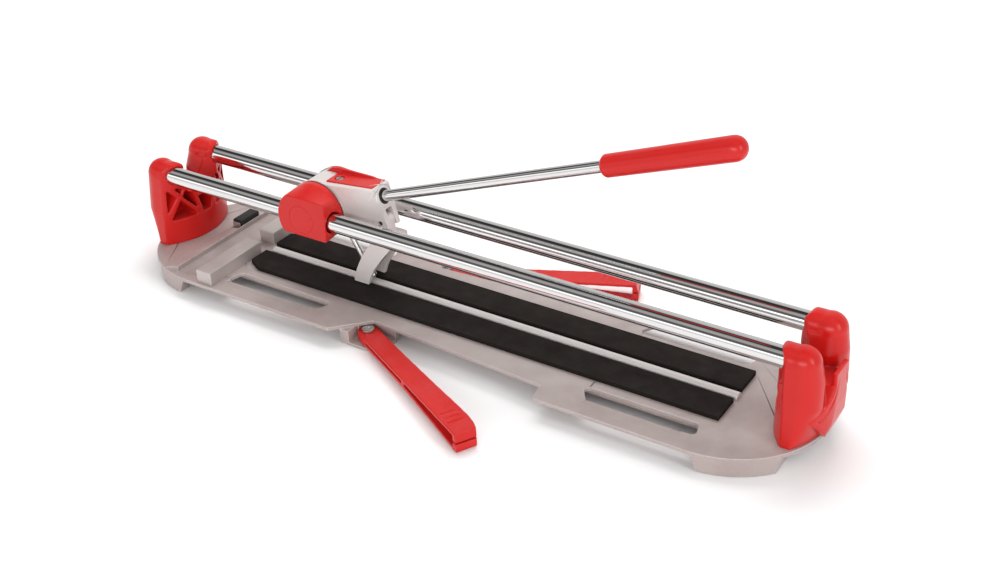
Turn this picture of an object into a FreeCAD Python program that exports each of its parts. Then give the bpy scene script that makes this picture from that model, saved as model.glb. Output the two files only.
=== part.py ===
import FreeCAD, Part
import math
import os

V = FreeCAD.Vector

# Driving dimensions, millimetres. X runs along the guide bars, Z is up, Z = 0 is the bench.

END_X = 296.3            # centre of the half-round plate ends
HALF_W = 97.2            # half width of the plate and radius of its ends
PLATE_TOP = 20.0
PLATE_T = 4.0
PLATE_LOW = PLATE_TOP - PLATE_T

BAR_R = 10.0
BAR_Y = 32.75
BAR_Z = 102.1
BAR_HALF = 372.0
HUMP_R = 15.0            # round top of an end support above each bar
SUPPORT_ARC = 74.0       # radius of the bulged inner face of an end support
SUPPORT_ARC_X = 420.0    # centre of that face

RIB_HALF = 5.3
RIB_TOP = 25.6
PAD_TOP = 25.0
PAD_IN = 8.7
PAD_OUT = 43.1
PAD_X0 = -257.0
PAD_X1 = 304.5

FENCE_X0 = -282.0
FENCE_X1 = -262.0
FENCE_TOP = 35.0
RIDGE_X = -315.0

CAR_X = -167.0           # lever pivot, which is also the middle of the carriage
SIDE_Y = 18.3            # inner face of a slider
FACE_Y = 46.0            # outer face of a slider cover
LEVER_HALF = 17.0
DRUM_R = 32.3
COVER_R = 33.0
BUSH_R = 11.4
HUB_R = 13.0
HANDLE_DEG = 20.5

PIN_X = -92.0
PIN_Z = 103.0
WHEEL_X = -117.0
WHEEL_Z = 31.7
WHEEL_R = 5.6

ARM_X = -71.0
ARM_Y = 71.0
ARM_LEN = 213.0
ARM_TIP = 19.6
FRONT_ARM_DEG = -28.8
REAR_ARM_DEG = 20.4

MIDDLE_Y = 13.74         # the bars' middle plane, placed so that the box of the whole is centred on Y = 0

os.makedirs("parts", exist_ok=True)


# Helpers

def box(x0, x1, y0, y1, z0, z1):
    return Part.makeBox(x1 - x0, y1 - y0, z1 - z0, V(x0, y0, z0))


def rod(radius, start, end):
    axis = V(*end) - V(*start)
    return Part.makeCylinder(radius, axis.Length, V(*start), axis)


def prism(points, normal, depth):
    wire = Part.makePolygon([V(*p) for p in points] + [V(*points[0])])
    return Part.Face(wire).extrude(V(*normal) * depth)


def prism_z(points, z0, z1):
    return prism([(x, y, z0) for x, y in points], (0, 0, 1), z1 - z0)


def prism_y(points, y0, y1):
    return prism([(x, y0, z) for x, z in points], (0, 1, 0), y1 - y0)


def prism_x(points, x0, x1):
    return prism([(x0, y, z) for y, z in points], (1, 0, 0), x1 - x0)


def ruled(near, far):
    wires = []
    for points in (near, far):
        wires.append(Part.makePolygon([V(*p) for p in points] + [V(*points[0])]))
    return Part.makeLoft(wires, True, True)


def fuse(shapes):
    whole = shapes[0]
    for shape in shapes[1:]:
        whole = whole.fuse(shape)
    return whole.removeSplitter()


def cut(shape, tools):
    for tool in tools:
        shape = shape.cut(tool)
    return shape


def mirror_x(shape):
    return shape.mirror(V(0, 0, 0), V(1, 0, 0))


def mirror_y(shape):
    return shape.mirror(V(0, 0, 0), V(0, 1, 0))


def upright_edges(shape):
    edges = []
    for edge in shape.Edges:
        low = edge.Vertexes[0].Point
        high = edge.Vertexes[-1].Point
        if abs(low.x - high.x) < 1e-6 and abs(low.y - high.y) < 1e-6:
            edges.append(edge)
    return edges


def rounded_prism_z(points, z0, z1, radius):
    block = prism_z(points, z0, z1)
    return block.makeFillet(radius, upright_edges(block))


def save(name, shape):
    shape.translate(V(0, MIDDLE_Y, 0))
    shape.exportStep("parts/" + name + ".step")


# Base plate

def plate_outline(z0, z1, grow=0.0):
    middle = box(-END_X, END_X, -HALF_W - grow, HALF_W + grow, z0, z1)
    left = Part.makeCylinder(HALF_W + grow, z1 - z0, V(-END_X, 0, z0))
    right = Part.makeCylinder(HALF_W + grow, z1 - z0, V(END_X, 0, z0))
    return fuse([middle, left, right])


def side_recess():
    points = [(-110, -105), (-103, -97), (-70, -62.2), (135, -75), (140, -98), (141.5, -105)]
    return prism_z(points, -1, 40)


def hand_slots():
    left = [(-252, -55), (-127, -55), (-137, -74), (-257, -74)]
    right = [(171, -54.5), (291, -54.5), (296, -73), (183, -73)]
    return [rounded_prism_z(left, -1, 30, 5.0), rounded_prism_z(right, -1, 30, 5.0)]


def slot_scoops():
    scoops = []
    for middle_x in (-205.0, 232.0):
        disc = Part.makeCylinder(222.0, 3.0, V(middle_x, 136.5, PLATE_TOP - 1.2))
        scoops.append(disc.common(box(middle_x - 50, middle_x + 50, -90, -72, 10, 30)))
    return scoops


def foot(outer_top, outer_low):
    ring = Part.makeCylinder(HALF_W, PLATE_LOW, V(END_X, 0, 0))
    ring = ring.cut(Part.makeCylinder(HALF_W - 14, PLATE_LOW, V(END_X, 0, 0)))
    window = [(301, PLATE_LOW), (outer_top, PLATE_LOW), (outer_low, 0), (308, 0)]
    return ring.common(prism_y(window, -110, -40))


def arm_bracket():
    outer = [(-95, -87.5), (-46, -87.5), (-46, -51), (-68, -51), (-97, -84)]
    block = prism_z(outer, 0, PLATE_LOW)
    pocket = fuse([
        Part.makeCylinder(12.6, 20, V(ARM_X, -ARM_Y, 3)),
        box(-84, -40, -100, -ARM_Y, 3, 23),
        box(ARM_X, -40, -100, -58.4, 3, 23),
    ])
    thread = Part.makeCylinder(3.0, 10, V(ARM_X, -ARM_Y, -1))
    return cut(block, [pocket, thread])


def support_screw_points():
    points = []
    for side in (-1, 1):
        for y in (-34, 34):
            points.append((side * 366, y))
        points.append((side * 380, 0))
    return points


def fence_screw_points():
    return [(-272, y) for y in (-78, -30, 30, 78)]


def underside_ribs():
    ribs = []
    for y in (-46, -15, 15, 46):
        ribs.append(box(-290, 290, y - 1.5, y + 1.5, 7, PLATE_LOW))
    for x in (-288.5, -190, -30, 60, 158, 288.5):
        ribs.append(box(x - 1.5, x + 1.5, -47.5, 47.5, 7, PLATE_LOW))
    return ribs


def base_plate():
    body = plate_outline(PLATE_LOW, PLATE_TOP)
    front_cuts = [side_recess()] + hand_slots() + slot_scoops()
    body = cut(body, front_cuts + [mirror_y(tool) for tool in front_cuts])
    ridge = prism_y([(-335, PLATE_TOP - 1), (-335, PLATE_TOP), (RIDGE_X, 26), (RIDGE_X, PLATE_TOP - 1)], -88, 88)
    right_foot = foot(373, 370)
    left_foot = mirror_x(foot(345, 341))
    adds = [ridge, right_foot, mirror_y(right_foot), left_foot, mirror_y(left_foot)]
    adds += [arm_bracket(), mirror_y(arm_bracket())] + underside_ribs()
    body = fuse([body] + adds)
    holes = [box(-330, RIDGE_X - 1.5, 13.7, 50.3, PLATE_TOP, 30)]
    for x, y in support_screw_points():
        holes.append(Part.makeCylinder(3.0, 40, V(x, y, 5)))
    for x, y in fence_screw_points():
        holes.append(Part.makeCylinder(2.5, 20, V(x, y, 5)))
    casting = cut(body, holes)
    # Two touching halves of the one casting, so that its collision hulls stay small.
    left = casting.common(box(-420, 0, -200, 200, -5, 60))
    right = casting.common(box(0, 420, -200, 200, -5, 60))
    return Part.makeCompound([left, right])


# Table

def breaking_rib():
    left = V(PAD_X0 + 5, -RIB_HALF, 22.2)
    top = V(PAD_X0 + 5, 0, RIB_TOP)
    right = V(PAD_X0 + 5, RIB_HALF, 22.2)
    foot_right = V(PAD_X0 + 5, RIB_HALF, PLATE_TOP)
    foot_left = V(PAD_X0 + 5, -RIB_HALF, PLATE_TOP)
    edges = [
        Part.Arc(left, top, right).toShape(),
        Part.makeLine(right, foot_right),
        Part.makeLine(foot_right, foot_left),
        Part.makeLine(foot_left, left),
    ]
    return Part.Face(Part.Wire(edges)).extrude(V(PAD_X1 + 1.5 - PAD_X0 - 5, 0, 0))


def pad_front():
    points = [
        (PAD_X0, -PAD_IN),
        (PAD_X1, -PAD_IN),
        (PAD_X1, -PAD_OUT),
        (PAD_X0 + 17, -PAD_OUT),
        (PAD_X0, -PAD_OUT + 9.5),
    ]
    return prism_z(points, PLATE_TOP, PAD_TOP)


def fence_block():
    block = box(FENCE_X0, FENCE_X1, -93.5, -11, PLATE_TOP, FENCE_TOP)
    block = block.makeChamfer(0.8, [e for e in block.Edges if e.BoundBox.ZMin > FENCE_TOP - 0.1])
    return cut(block, [Part.makeCylinder(2.5, 10.5, V(x, y, 19)) for x, y in fence_screw_points()])


def screw_up(x, y, head_z, head_r, head_h, shank_r, tip_z):
    head = Part.makeCylinder(head_r, head_h, V(x, y, head_z - head_h))
    shank = Part.makeCylinder(shank_r, tip_z - head_z, V(x, y, head_z))
    socket = Part.makeCylinder(head_r * 0.5, head_h * 0.5, V(x, y, head_z - head_h))
    return head.fuse(shank).cut(socket)


def fence_screws():
    return Part.makeCompound([
        screw_up(x, y, PLATE_LOW, 4.5, 4.5, 2.5, 29) for x, y in fence_screw_points()
    ])


def stop_block():
    block = box(-329.6, RIDGE_X - 1.9, 20, 50, PLATE_TOP, 31)
    return block.makeFillet(1.2, [e for e in block.Edges if e.BoundBox.ZMin > 30.9])


def stop_clip():
    foot_leaf = box(-328, RIDGE_X - 3, 14, 20, PLATE_TOP, 21.5)
    leaf = box(-328, RIDGE_X - 3, 17.5, 19, 21.5, 29)
    return fuse([foot_leaf.common(box(-340, -300, 14, 19, 15, 30)), leaf])


# End supports

def socket_holes():
    return [rod(BAR_R, (340, y, BAR_Z), (BAR_HALF + 0.5, y, BAR_Z)) for y in (-BAR_Y, BAR_Y)]


def rib_pockets():
    shapes = [
        [(-44.3, 87.0), (-46.3, 57), (-35.5, 75.5)],
        [(-43.5, 49), (-13.5, 49), (-32.3, 72.5)],
        [(-29.5, 75), (-12.5, 54.5), (-17, 76), (-26, 82)],
        [(-38, 88), (-28, 85), (-31.5, 79)],
    ]
    pockets = [prism_x([(-11.5, 70), (-6, 49), (6, 49), (11.5, 70)], 335, 371)]
    for points in shapes:
        pocket = prism_x(points, 335, 371)
        pockets += [pocket, mirror_y(pocket)]
    return pockets


def lobe_section(z, reach, half, middle, follow):
    steps = 24
    points = [(340, middle - half, z)]
    for index in range(steps + 1):
        turn = math.pi * (index / steps - 0.5)
        y = middle + half * math.sin(turn)
        x = 300 + math.sqrt(reach ** 2 - y ** 2) if follow else reach + half * math.cos(turn)
        points.append((x, y, z))
    return points + [(340, middle + half, z)]


def support_lobe():
    low = lobe_section(PLATE_TOP, 91.7, 18.6, 32.7, True)
    middle = lobe_section(60, 376.0, 19.5, 31.0, False)
    shoulder = lobe_section(85, 375.5, 19.0, 29.5, False)
    high = lobe_section(BAR_Z, 375.0, 16.0, 32.2, False)
    hump = rod(HUMP_R, (340, BAR_Y, BAR_Z), (375, BAR_Y, BAR_Z))
    dome = Part.makeSphere(16.0, V(375, 32.2, BAR_Z))
    return fuse([ruled(low, middle), ruled(middle, shoulder), ruled(shoulder, high), hump, dome])


def inner_bounds():
    bulge = Part.makeCylinder(SUPPORT_ARC, 110, V(SUPPORT_ARC_X, 0, 15))
    points = [V(335, -60, 15), V(410, -60, 15), V(410, -60, 125), V(361, -60, BAR_Z + 15.1)]
    corner = Part.Arc(points[3], V(354.8, -60, 113.6), V(351.5, -60, 104)).toShape()
    edges = [Part.makeLine(points[i], points[i + 1]) for i in range(3)] + [corner]
    edges.append(Part.makeLine(V(351.5, -60, 104), V(335, -60, 104)))
    edges.append(Part.makeLine(V(335, -60, 104), points[0]))
    return bulge.common(Part.Face(Part.Wire(edges)).extrude(V(0, 120, 0)))


def support_band():
    outline = [(-14.5, 87), (14.5, 87), (14.5, 74), (23, 62), (34, 54), (43, 48), (17, PLATE_TOP)]
    outline += [(-17, PLATE_TOP), (-43, 48), (-34, 54), (-23, 62), (-14.5, 74)]
    profile = [(380, PLATE_TOP), (396, PLATE_TOP), (400.5, 34), (401.2, 52), (400.8, 70), (399.9, 87)]
    profile += [(396, 87), (395, 74), (380, 74)]
    band = prism_x(outline, 370, 410).common(prism_y(profile, -60, 60))
    return band.common(Part.makeCylinder(81.0, 100, V(321.2, 0, 10)))


def right_support():
    lobe = support_lobe()
    wall = box(340, 400, -20, 20, PLATE_TOP, 74).common(Part.makeCylinder(91.0, 80, V(300, 0, PLATE_TOP)))
    body = fuse([lobe, mirror_y(lobe), wall]).common(inner_bounds())
    flare = [(335, -33), (350, -26), (354, -21), (358, -17), (362, -12.5), (367, -6)]
    valley = prism_z(flare + [(x, -y) for x, y in reversed(flare)], 80, 130)
    body = fuse([body.cut(valley), support_band()])
    screws = [Part.makeCylinder(3.0, 14.5, V(x, y, 19)) for x, y in support_screw_points() if x > 0]
    return cut(body, socket_holes() + rib_pockets() + screws)


def support_screws():
    return Part.makeCompound([
        screw_up(x, y, PLATE_LOW, 5.0, 6.0, 3.0, 33) for x, y in support_screw_points()
    ])


def guide_bar(y):
    bar = rod(BAR_R, (-BAR_HALF, y, BAR_Z), (BAR_HALF, y, BAR_Z))
    return bar.makeChamfer(0.8, [e for e in bar.Edges if e.Closed])


# Carriage

def slider_block():
    block = box(CAR_X - 22, CAR_X + 22, -FACE_Y + 1.4, -SIDE_Y, 90.2, 116)
    bore = rod(BUSH_R, (CAR_X - 30, -BAR_Y, BAR_Z), (CAR_X + 30, -BAR_Y, BAR_Z))
    seat = rod(HUB_R, (CAR_X, -SIDE_Y - 0.6, BAR_Z), (CAR_X, -SIDE_Y + 1, BAR_Z))
    return cut(block, [bore, seat])


def bushes():
    rings = []
    for y in (-BAR_Y, BAR_Y):
        for x in (CAR_X - 21.5, CAR_X + 9.5):
            ring = rod(BUSH_R, (x, y, BAR_Z), (x + 12, y, BAR_Z))
            rings.append(ring.cut(rod(BAR_R + 0.06, (x - 1, y, BAR_Z), (x + 13, y, BAR_Z))))
    return Part.makeCompound(rings)


def cover_radius(angle, face_top, on_face):
    across = math.cos(angle)
    up = math.sin(angle)
    limits = [18.6 / -up] if up < 0 else []
    if not on_face:
        limits.append(COVER_R)
    else:
        limits.append(32.0 if across < 0 else 60.0)
        if across > 0:
            limits.append(30.0 / across)
        if up > 0:
            limits.append(face_top / up)
    return min(limits)


def cover_section(y, face_top, on_face):
    steps = 72
    points = []
    for index in range(steps):
        angle = 2 * math.pi * (index + 0.5) / steps
        reach = cover_radius(angle, face_top, on_face)
        points.append((CAR_X + reach * math.cos(angle), y, BAR_Z + reach * math.sin(angle)))
    return points


def slider_cover(face_top):
    drum = prism([p for p in cover_section(-24.0, face_top, False)], (0, 1, 0), 24.0 - SIDE_Y)
    flare = ruled(cover_section(-24.0, face_top, False), cover_section(-FACE_Y, face_top, True))
    body = fuse([drum, flare])
    bar_way = rod(BUSH_R, (-230, -BAR_Y, BAR_Z), (-100, -BAR_Y, BAR_Z))
    block_way = box(CAR_X - 22, CAR_X + 22, -FACE_Y + 1.4, -SIDE_Y + 1, 90.2, 116)
    under = box(-230, -100, -25, 0, 80, 92)
    badge = rod(15.8, (CAR_X - 1, -50, BAR_Z + 1), (CAR_X - 1, -FACE_Y + 0.5, BAR_Z + 1))
    badge = badge.cut(rod(14.9, (CAR_X - 1, -51, BAR_Z + 1), (CAR_X - 1, -FACE_Y + 1, BAR_Z + 1)))
    return cut(body, [bar_way, block_way, under, badge])


def thrust_washers():
    discs = []
    for y0, y1 in ((-SIDE_Y, -LEVER_HALF - 0.35), (LEVER_HALF + 0.35, SIDE_Y)):
        disc = rod(COVER_R + 0.6, (CAR_X, y0, BAR_Z), (CAR_X, y1, BAR_Z))
        disc = disc.cut(rod(HUB_R, (CAR_X, y0 - 1, BAR_Z), (CAR_X, y1 + 1, BAR_Z)))
        discs.append(disc.common(box(-230, -100, -30, 30, 84.0, 160)))
    return Part.makeCompound(discs)


def pivot_tube():
    tube = rod(HUB_R, (CAR_X, -SIDE_Y - 0.6, BAR_Z), (CAR_X, SIDE_Y + 0.6, BAR_Z))
    return tube.cut(rod(HUB_R - 4, (CAR_X, -30, BAR_Z), (CAR_X, 30, BAR_Z)))


# Lever

def along_handle(distance, lift=0.0, y=0.0):
    angle = math.radians(HANDLE_DEG)
    x = CAR_X + distance * math.cos(angle) - lift * math.sin(angle)
    z = BAR_Z + distance * math.sin(angle) + lift * math.cos(angle)
    return (x, y, z)


def holder_point(distance):
    angle = math.radians(121.2)
    return (WHEEL_X + distance * math.cos(angle), 0, WHEEL_Z + distance * math.sin(angle))


def insert_block(y0, y1):
    return prism_y([(-160, 129.6), (-101, 135.0), (-101, 140.4), (-160, 135.2)], y0, y1)


def insert_lip():
    points = [(-176, 128), (-176, 133.5), (-169, 138.6), (-161, 140.4), (-148, 140.4), (-118, 140.6), (-110, 139.6)]
    return prism_y(points + [(-110, 134.2), (-160, 129.6)], 11, 14)


def lever_body():
    drum = rod(DRUM_R, (CAR_X, -LEVER_HALF, BAR_Z), (CAR_X, LEVER_HALF, BAR_Z))
    drum = drum.common(box(-230, -100, -30, 30, 85, 150))
    near = [(-160, -17, 133.6), (-160, 17, 133.6), (-160, 17, 85), (-160, -17, 85)]
    far = [(-97, -13.5, 140.4), (-97, 13.5, 140.4), (-82.5, 10.5, 98), (-82.5, -10.5, 98)]
    boss = rod(12.0, along_handle(60), along_handle(79))
    body = fuse([drum, ruled(near, far), boss])
    ways = [
        rod(HUB_R + 0.06, (CAR_X, -30, BAR_Z), (CAR_X, 30, BAR_Z)),
        rod(6.0, along_handle(44), along_handle(90)),
        rod(8.4, along_handle(73), along_handle(90)),
        box(-112, -60, -5, 5, 80, 117),
        rod(2.5, (PIN_X, -30, PIN_Z), (PIN_X, 30, PIN_Z)),
        rod(3.0, holder_point(55), holder_point(71)),
        insert_block(-10, 14),
        insert_lip(),
        rod(2.0, (-150, 0, 124), (-150, 0, 145)),
    ]
    return cut(body, ways)


def top_insert():
    body = fuse([insert_block(-10, 14), insert_lip()])
    return cut(body, [rod(2.0, (-150, 0, 125), (-150, 0, 150)), rod(5.2, (-150, 0, 133.4), (-150, 0, 150))])


def insert_screw():
    head = rod(4.0, (-150, 0, 133.4), (-150, 0, 135.6))
    shank = rod(2.0, (-150, 0, 124.5), (-150, 0, 133.4))
    return fuse([head, shank]).cut(Part.makeBox(1.2, 8, 1.2, V(-150.6, -4, 134.6)))


def socket_ring():
    ring = rod(8.4, along_handle(75.5), along_handle(79))
    return ring.cut(rod(6.0, along_handle(70), along_handle(90)))


def handle_rod():
    return rod(6.0, along_handle(44.5), along_handle(470))


def handle_grip():
    neck = Part.makeCone(9.2, 11.0, 3, V(0, 0, 349))
    sleeve = Part.makeCone(11.0, 11.8, 130, V(0, 0, 352))
    dome = Part.makeSphere(11.8, V(0, 0, 482))
    solid = fuse([neck, sleeve, dome]).cut(Part.makeCylinder(6.0, 130, V(0, 0, 340)))
    solid.rotate(V(0, 0, 0), V(0, 1, 0), 90 - HANDLE_DEG)
    solid.translate(V(CAR_X, 0, BAR_Z))
    return solid


# Breaker foot, wheel holder and wheel

def breaker_foot():
    outer = [(-97, 86), (-107, 74), (-117, 58), (-124, 43), (-128, 31), (-128, 27.4)]
    inner = [(-109.5, 27.4), (-107, 36), (-101, 48), (-91, 62), (-79, 77), (-79, 86)]
    cheek = prism_y(outer + inner, -16.5, -12)
    skin = [(-97, 86), (-107, 74), (-117, 58), (-124, 43), (-128, 31), (-128, 27.4)]
    skin += [(-123.5, 27.4), (-119.8, 41.5), (-113, 56), (-103, 71.7), (-93, 84)]
    shell = prism_y(skin, -12, 12).cut(box(-140, -90, -6, 6, 20, 64))
    deck = box(-97, -79, -12, 12, 82, 86)
    rib = prism_y([(-112, 67), (-103, 72), (-88, 67), (-96, 65)], -12, 12)
    lug = fuse([box(-99, -85, -4.7, 4.7, 84, PIN_Z), rod(7.0, (PIN_X, -4.7, PIN_Z), (PIN_X, 4.7, PIN_Z))])
    body = fuse([cheek, mirror_y(cheek), shell, deck, lug, rib])
    return body.cut(rod(2.55, (PIN_X, -30, PIN_Z), (PIN_X, 30, PIN_Z)))


def foot_pin():
    return rod(2.5, (PIN_X, -9.8, PIN_Z), (PIN_X, 9.8, PIN_Z))


def wheel_holder():
    stem = rod(3.0, holder_point(5), holder_point(70.5))
    head = rod(4.3, holder_point(-3.4), holder_point(13))
    slot = rod(8.2, (WHEEL_X, -1.1, WHEEL_Z), (WHEEL_X, 1.1, WHEEL_Z))
    return cut(fuse([stem, head]), [slot, rod(1.5, (WHEEL_X, -10, WHEEL_Z), (WHEEL_X, 10, WHEEL_Z))])


def wheel_axle():
    return rod(1.5, (WHEEL_X, -4.2, WHEEL_Z), (WHEEL_X, 4.2, WHEEL_Z))


def scoring_wheel():
    edge_points = [(1.54, -0.8), (3.6, -0.8), (WHEEL_R, 0), (3.6, 0.8), (1.54, 0.8)]
    wire = Part.makePolygon([V(WHEEL_X + r, y, WHEEL_Z) for r, y in edge_points + [edge_points[0]]])
    return Part.Face(wire).revolve(V(WHEEL_X, 0, WHEEL_Z), V(0, 1, 0), 360)


def holder_nut():
    axis = V(*holder_point(1)) - V(*holder_point(0))
    side = V(0, 1, 0)
    other = axis.cross(side)
    corners = []
    for index in range(6):
        angle = math.radians(60 * index)
        corners.append(V(*holder_point(52.5)) + side * (5.2 * math.cos(angle)) + other * (5.2 * math.sin(angle)))
    nut = Part.Face(Part.makePolygon(corners + [corners[0]])).extrude(axis * 4)
    return nut.cut(rod(3.0, holder_point(50), holder_point(70)))


# Support arms

def arm():
    low = -10.75
    start = V(0, low, 0)
    far_low = V(ARM_LEN, low, 0)
    far_high = V(ARM_LEN, 11.0, 0)
    top = V(0, 10.75, 0)
    bow = Part.BSplineCurve()
    bow.interpolate([far_high, V(198, 14.7, 0), V(176, 15.3, 0), V(135, 13.8, 0), V(80, 12.2, 0), top])
    edges = [
        Part.makeLine(start, far_low),
        Part.makeLine(far_low, far_high),
        bow.toShape(),
        Part.Arc(top, V(low, 0, 0), start).toShape(),
    ]
    plan = Part.Face(Part.Wire(edges)).extrude(V(0, 0, 30))
    side = [(-20, 3.3), (20, 3.5), (60, 5.4), (110, 5.6), (160, 3.6), (ARM_LEN, 0.8)]
    side += [(ARM_LEN + 0.2, 9), (ARM_LEN - 3, ARM_TIP), (16, 12.6), (-20, 12.6)]
    body = plan.common(prism_y(side, -20, 30))
    rise = (ARM_TIP - 12.6) / (ARM_LEN - 20)
    hollows = []
    for u0, u1, floor0, floor1 in ((15, 99, 7.4, 9.6), (104, 206, 9.6, 4.0)):
        roof0 = 9.8 + (u0 - 16) * rise
        roof1 = 9.8 + (u1 - 16) * rise
        hollows.append(prism_y([(u0, floor0), (u1, floor1), (u1, roof1), (u0, roof0)], -20, 30))
        hollows.append(prism_y([(u0, -1), (u1, -1), (u1, roof1), (u0, roof0)], -1.5, 30))
    hollows.append(box(200, 220, -20, 30, 9.4, 10.9))
    hollows.append(Part.makeCylinder(4.05, 30, V(0, 0, -1)))
    for u in (173, 181, 189):
        roof = 12.6 + (u - 16) * rise
        hollows.append(box(u, u + 2.4, -7, 8.5, roof - 0.9, roof + 3))
    return cut(body, hollows)


def placed_arm(y, degrees):
    shape = arm()
    shape.rotate(V(0, 0, 0), V(0, 0, 1), degrees)
    shape.translate(V(ARM_X, y, 0))
    return shape


def arm_screws():
    screws = []
    for y in (-ARM_Y, ARM_Y):
        shank = fuse([
            rod(3.0, (ARM_X, y, 0.5), (ARM_X, y, 3)),
            rod(4.0, (ARM_X, y, 3), (ARM_X, y, 12.9)),
            rod(6.5, (ARM_X, y, 12.9), (ARM_X, y, 15.7)),
        ])
        socket = Part.makeCylinder(3.4, 1.8, V(ARM_X, y, 13.9))
        screws.append(shank.cut(socket))
    return Part.makeCompound(screws)


# Export

save("base_plate", base_plate())
save("breaking_rib", breaking_rib())
save("pad_front", pad_front())
save("pad_rear", mirror_y(pad_front()))
save("fence_front", fence_block())
save("fence_rear", mirror_y(fence_block()))
save("fence_screws", fence_screws())
save("stop_block", stop_block())
save("stop_clip", stop_clip())
save("support_right", right_support())
save("support_left", mirror_x(right_support()))
save("support_screws", support_screws())
save("guide_bar_front", guide_bar(-BAR_Y))
save("guide_bar_rear", guide_bar(BAR_Y))
save("slider_block_front", slider_block())
save("slider_block_rear", mirror_y(slider_block()))
save("slider_cover_front", slider_cover(25.6))
save("slider_cover_rear", mirror_y(slider_cover(18.0)))
save("bushes", bushes())
save("thrust_washers", thrust_washers())
save("pivot_tube", pivot_tube())
save("lever_body", lever_body())
save("top_insert", top_insert())
save("insert_screw", insert_screw())
save("socket_ring", socket_ring())
save("handle_rod", handle_rod())
save("handle_grip", handle_grip())
save("breaker_foot", breaker_foot())
save("foot_pin", foot_pin())
save("wheel_holder", wheel_holder())
save("wheel_axle", wheel_axle())
save("scoring_wheel", scoring_wheel())
save("holder_nut", holder_nut())
save("arm_front", placed_arm(-ARM_Y, FRONT_ARM_DEG))
save("arm_rear", placed_arm(ARM_Y, REAR_ARM_DEG))
save("arm_screws", arm_screws())
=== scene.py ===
import logging
import math
from dataclasses import dataclass
from enum import Enum

import bpy
from mathutils import Matrix, Vector


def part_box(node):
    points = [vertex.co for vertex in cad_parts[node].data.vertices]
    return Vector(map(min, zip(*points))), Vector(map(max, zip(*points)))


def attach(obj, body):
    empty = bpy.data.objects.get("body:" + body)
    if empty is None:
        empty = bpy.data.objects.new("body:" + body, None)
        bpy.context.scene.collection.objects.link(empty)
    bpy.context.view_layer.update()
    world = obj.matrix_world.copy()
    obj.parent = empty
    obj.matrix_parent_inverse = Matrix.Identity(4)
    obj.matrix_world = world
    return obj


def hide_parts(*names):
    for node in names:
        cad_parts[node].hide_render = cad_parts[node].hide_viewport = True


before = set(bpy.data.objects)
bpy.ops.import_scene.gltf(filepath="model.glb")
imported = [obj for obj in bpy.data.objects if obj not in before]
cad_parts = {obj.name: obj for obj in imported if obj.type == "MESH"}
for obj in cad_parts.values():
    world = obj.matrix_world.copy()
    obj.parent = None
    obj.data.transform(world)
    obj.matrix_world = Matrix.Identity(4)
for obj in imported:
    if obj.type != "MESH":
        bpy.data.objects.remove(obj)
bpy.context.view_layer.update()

MM = 0.001
DOUBLES = 2e-6  # points nearer than this, in metres, are one point
MIDDLE_Y = sum(corner.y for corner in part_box("breaking_rib")) / 2 / MM  # the bars' middle plane
log = logging.getLogger("tile_cutter")


class Body(Enum):
    """Moving bodies of the cutter."""

    BASE = "base"
    CARRIAGE = "carriage"
    LEVER = "lever"
    BREAKER = "breaker"
    WHEEL = "wheel"
    ARM_NEAR = "arm_near"
    ARM_FAR = "arm_far"


class Slot(Enum):
    """Finishes named in the record."""

    CAST = "cast_alloy"
    STEEL = "rib_steel"
    RUBBER = "pad_rubber"
    SCREW = "screw_steel"
    STOP = "stop_plastic"
    BLACK = "black_plastic"
    RED = "red_plastic"
    CHROME = "chrome_bar"
    BRONZE = "bush_bronze"


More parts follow.
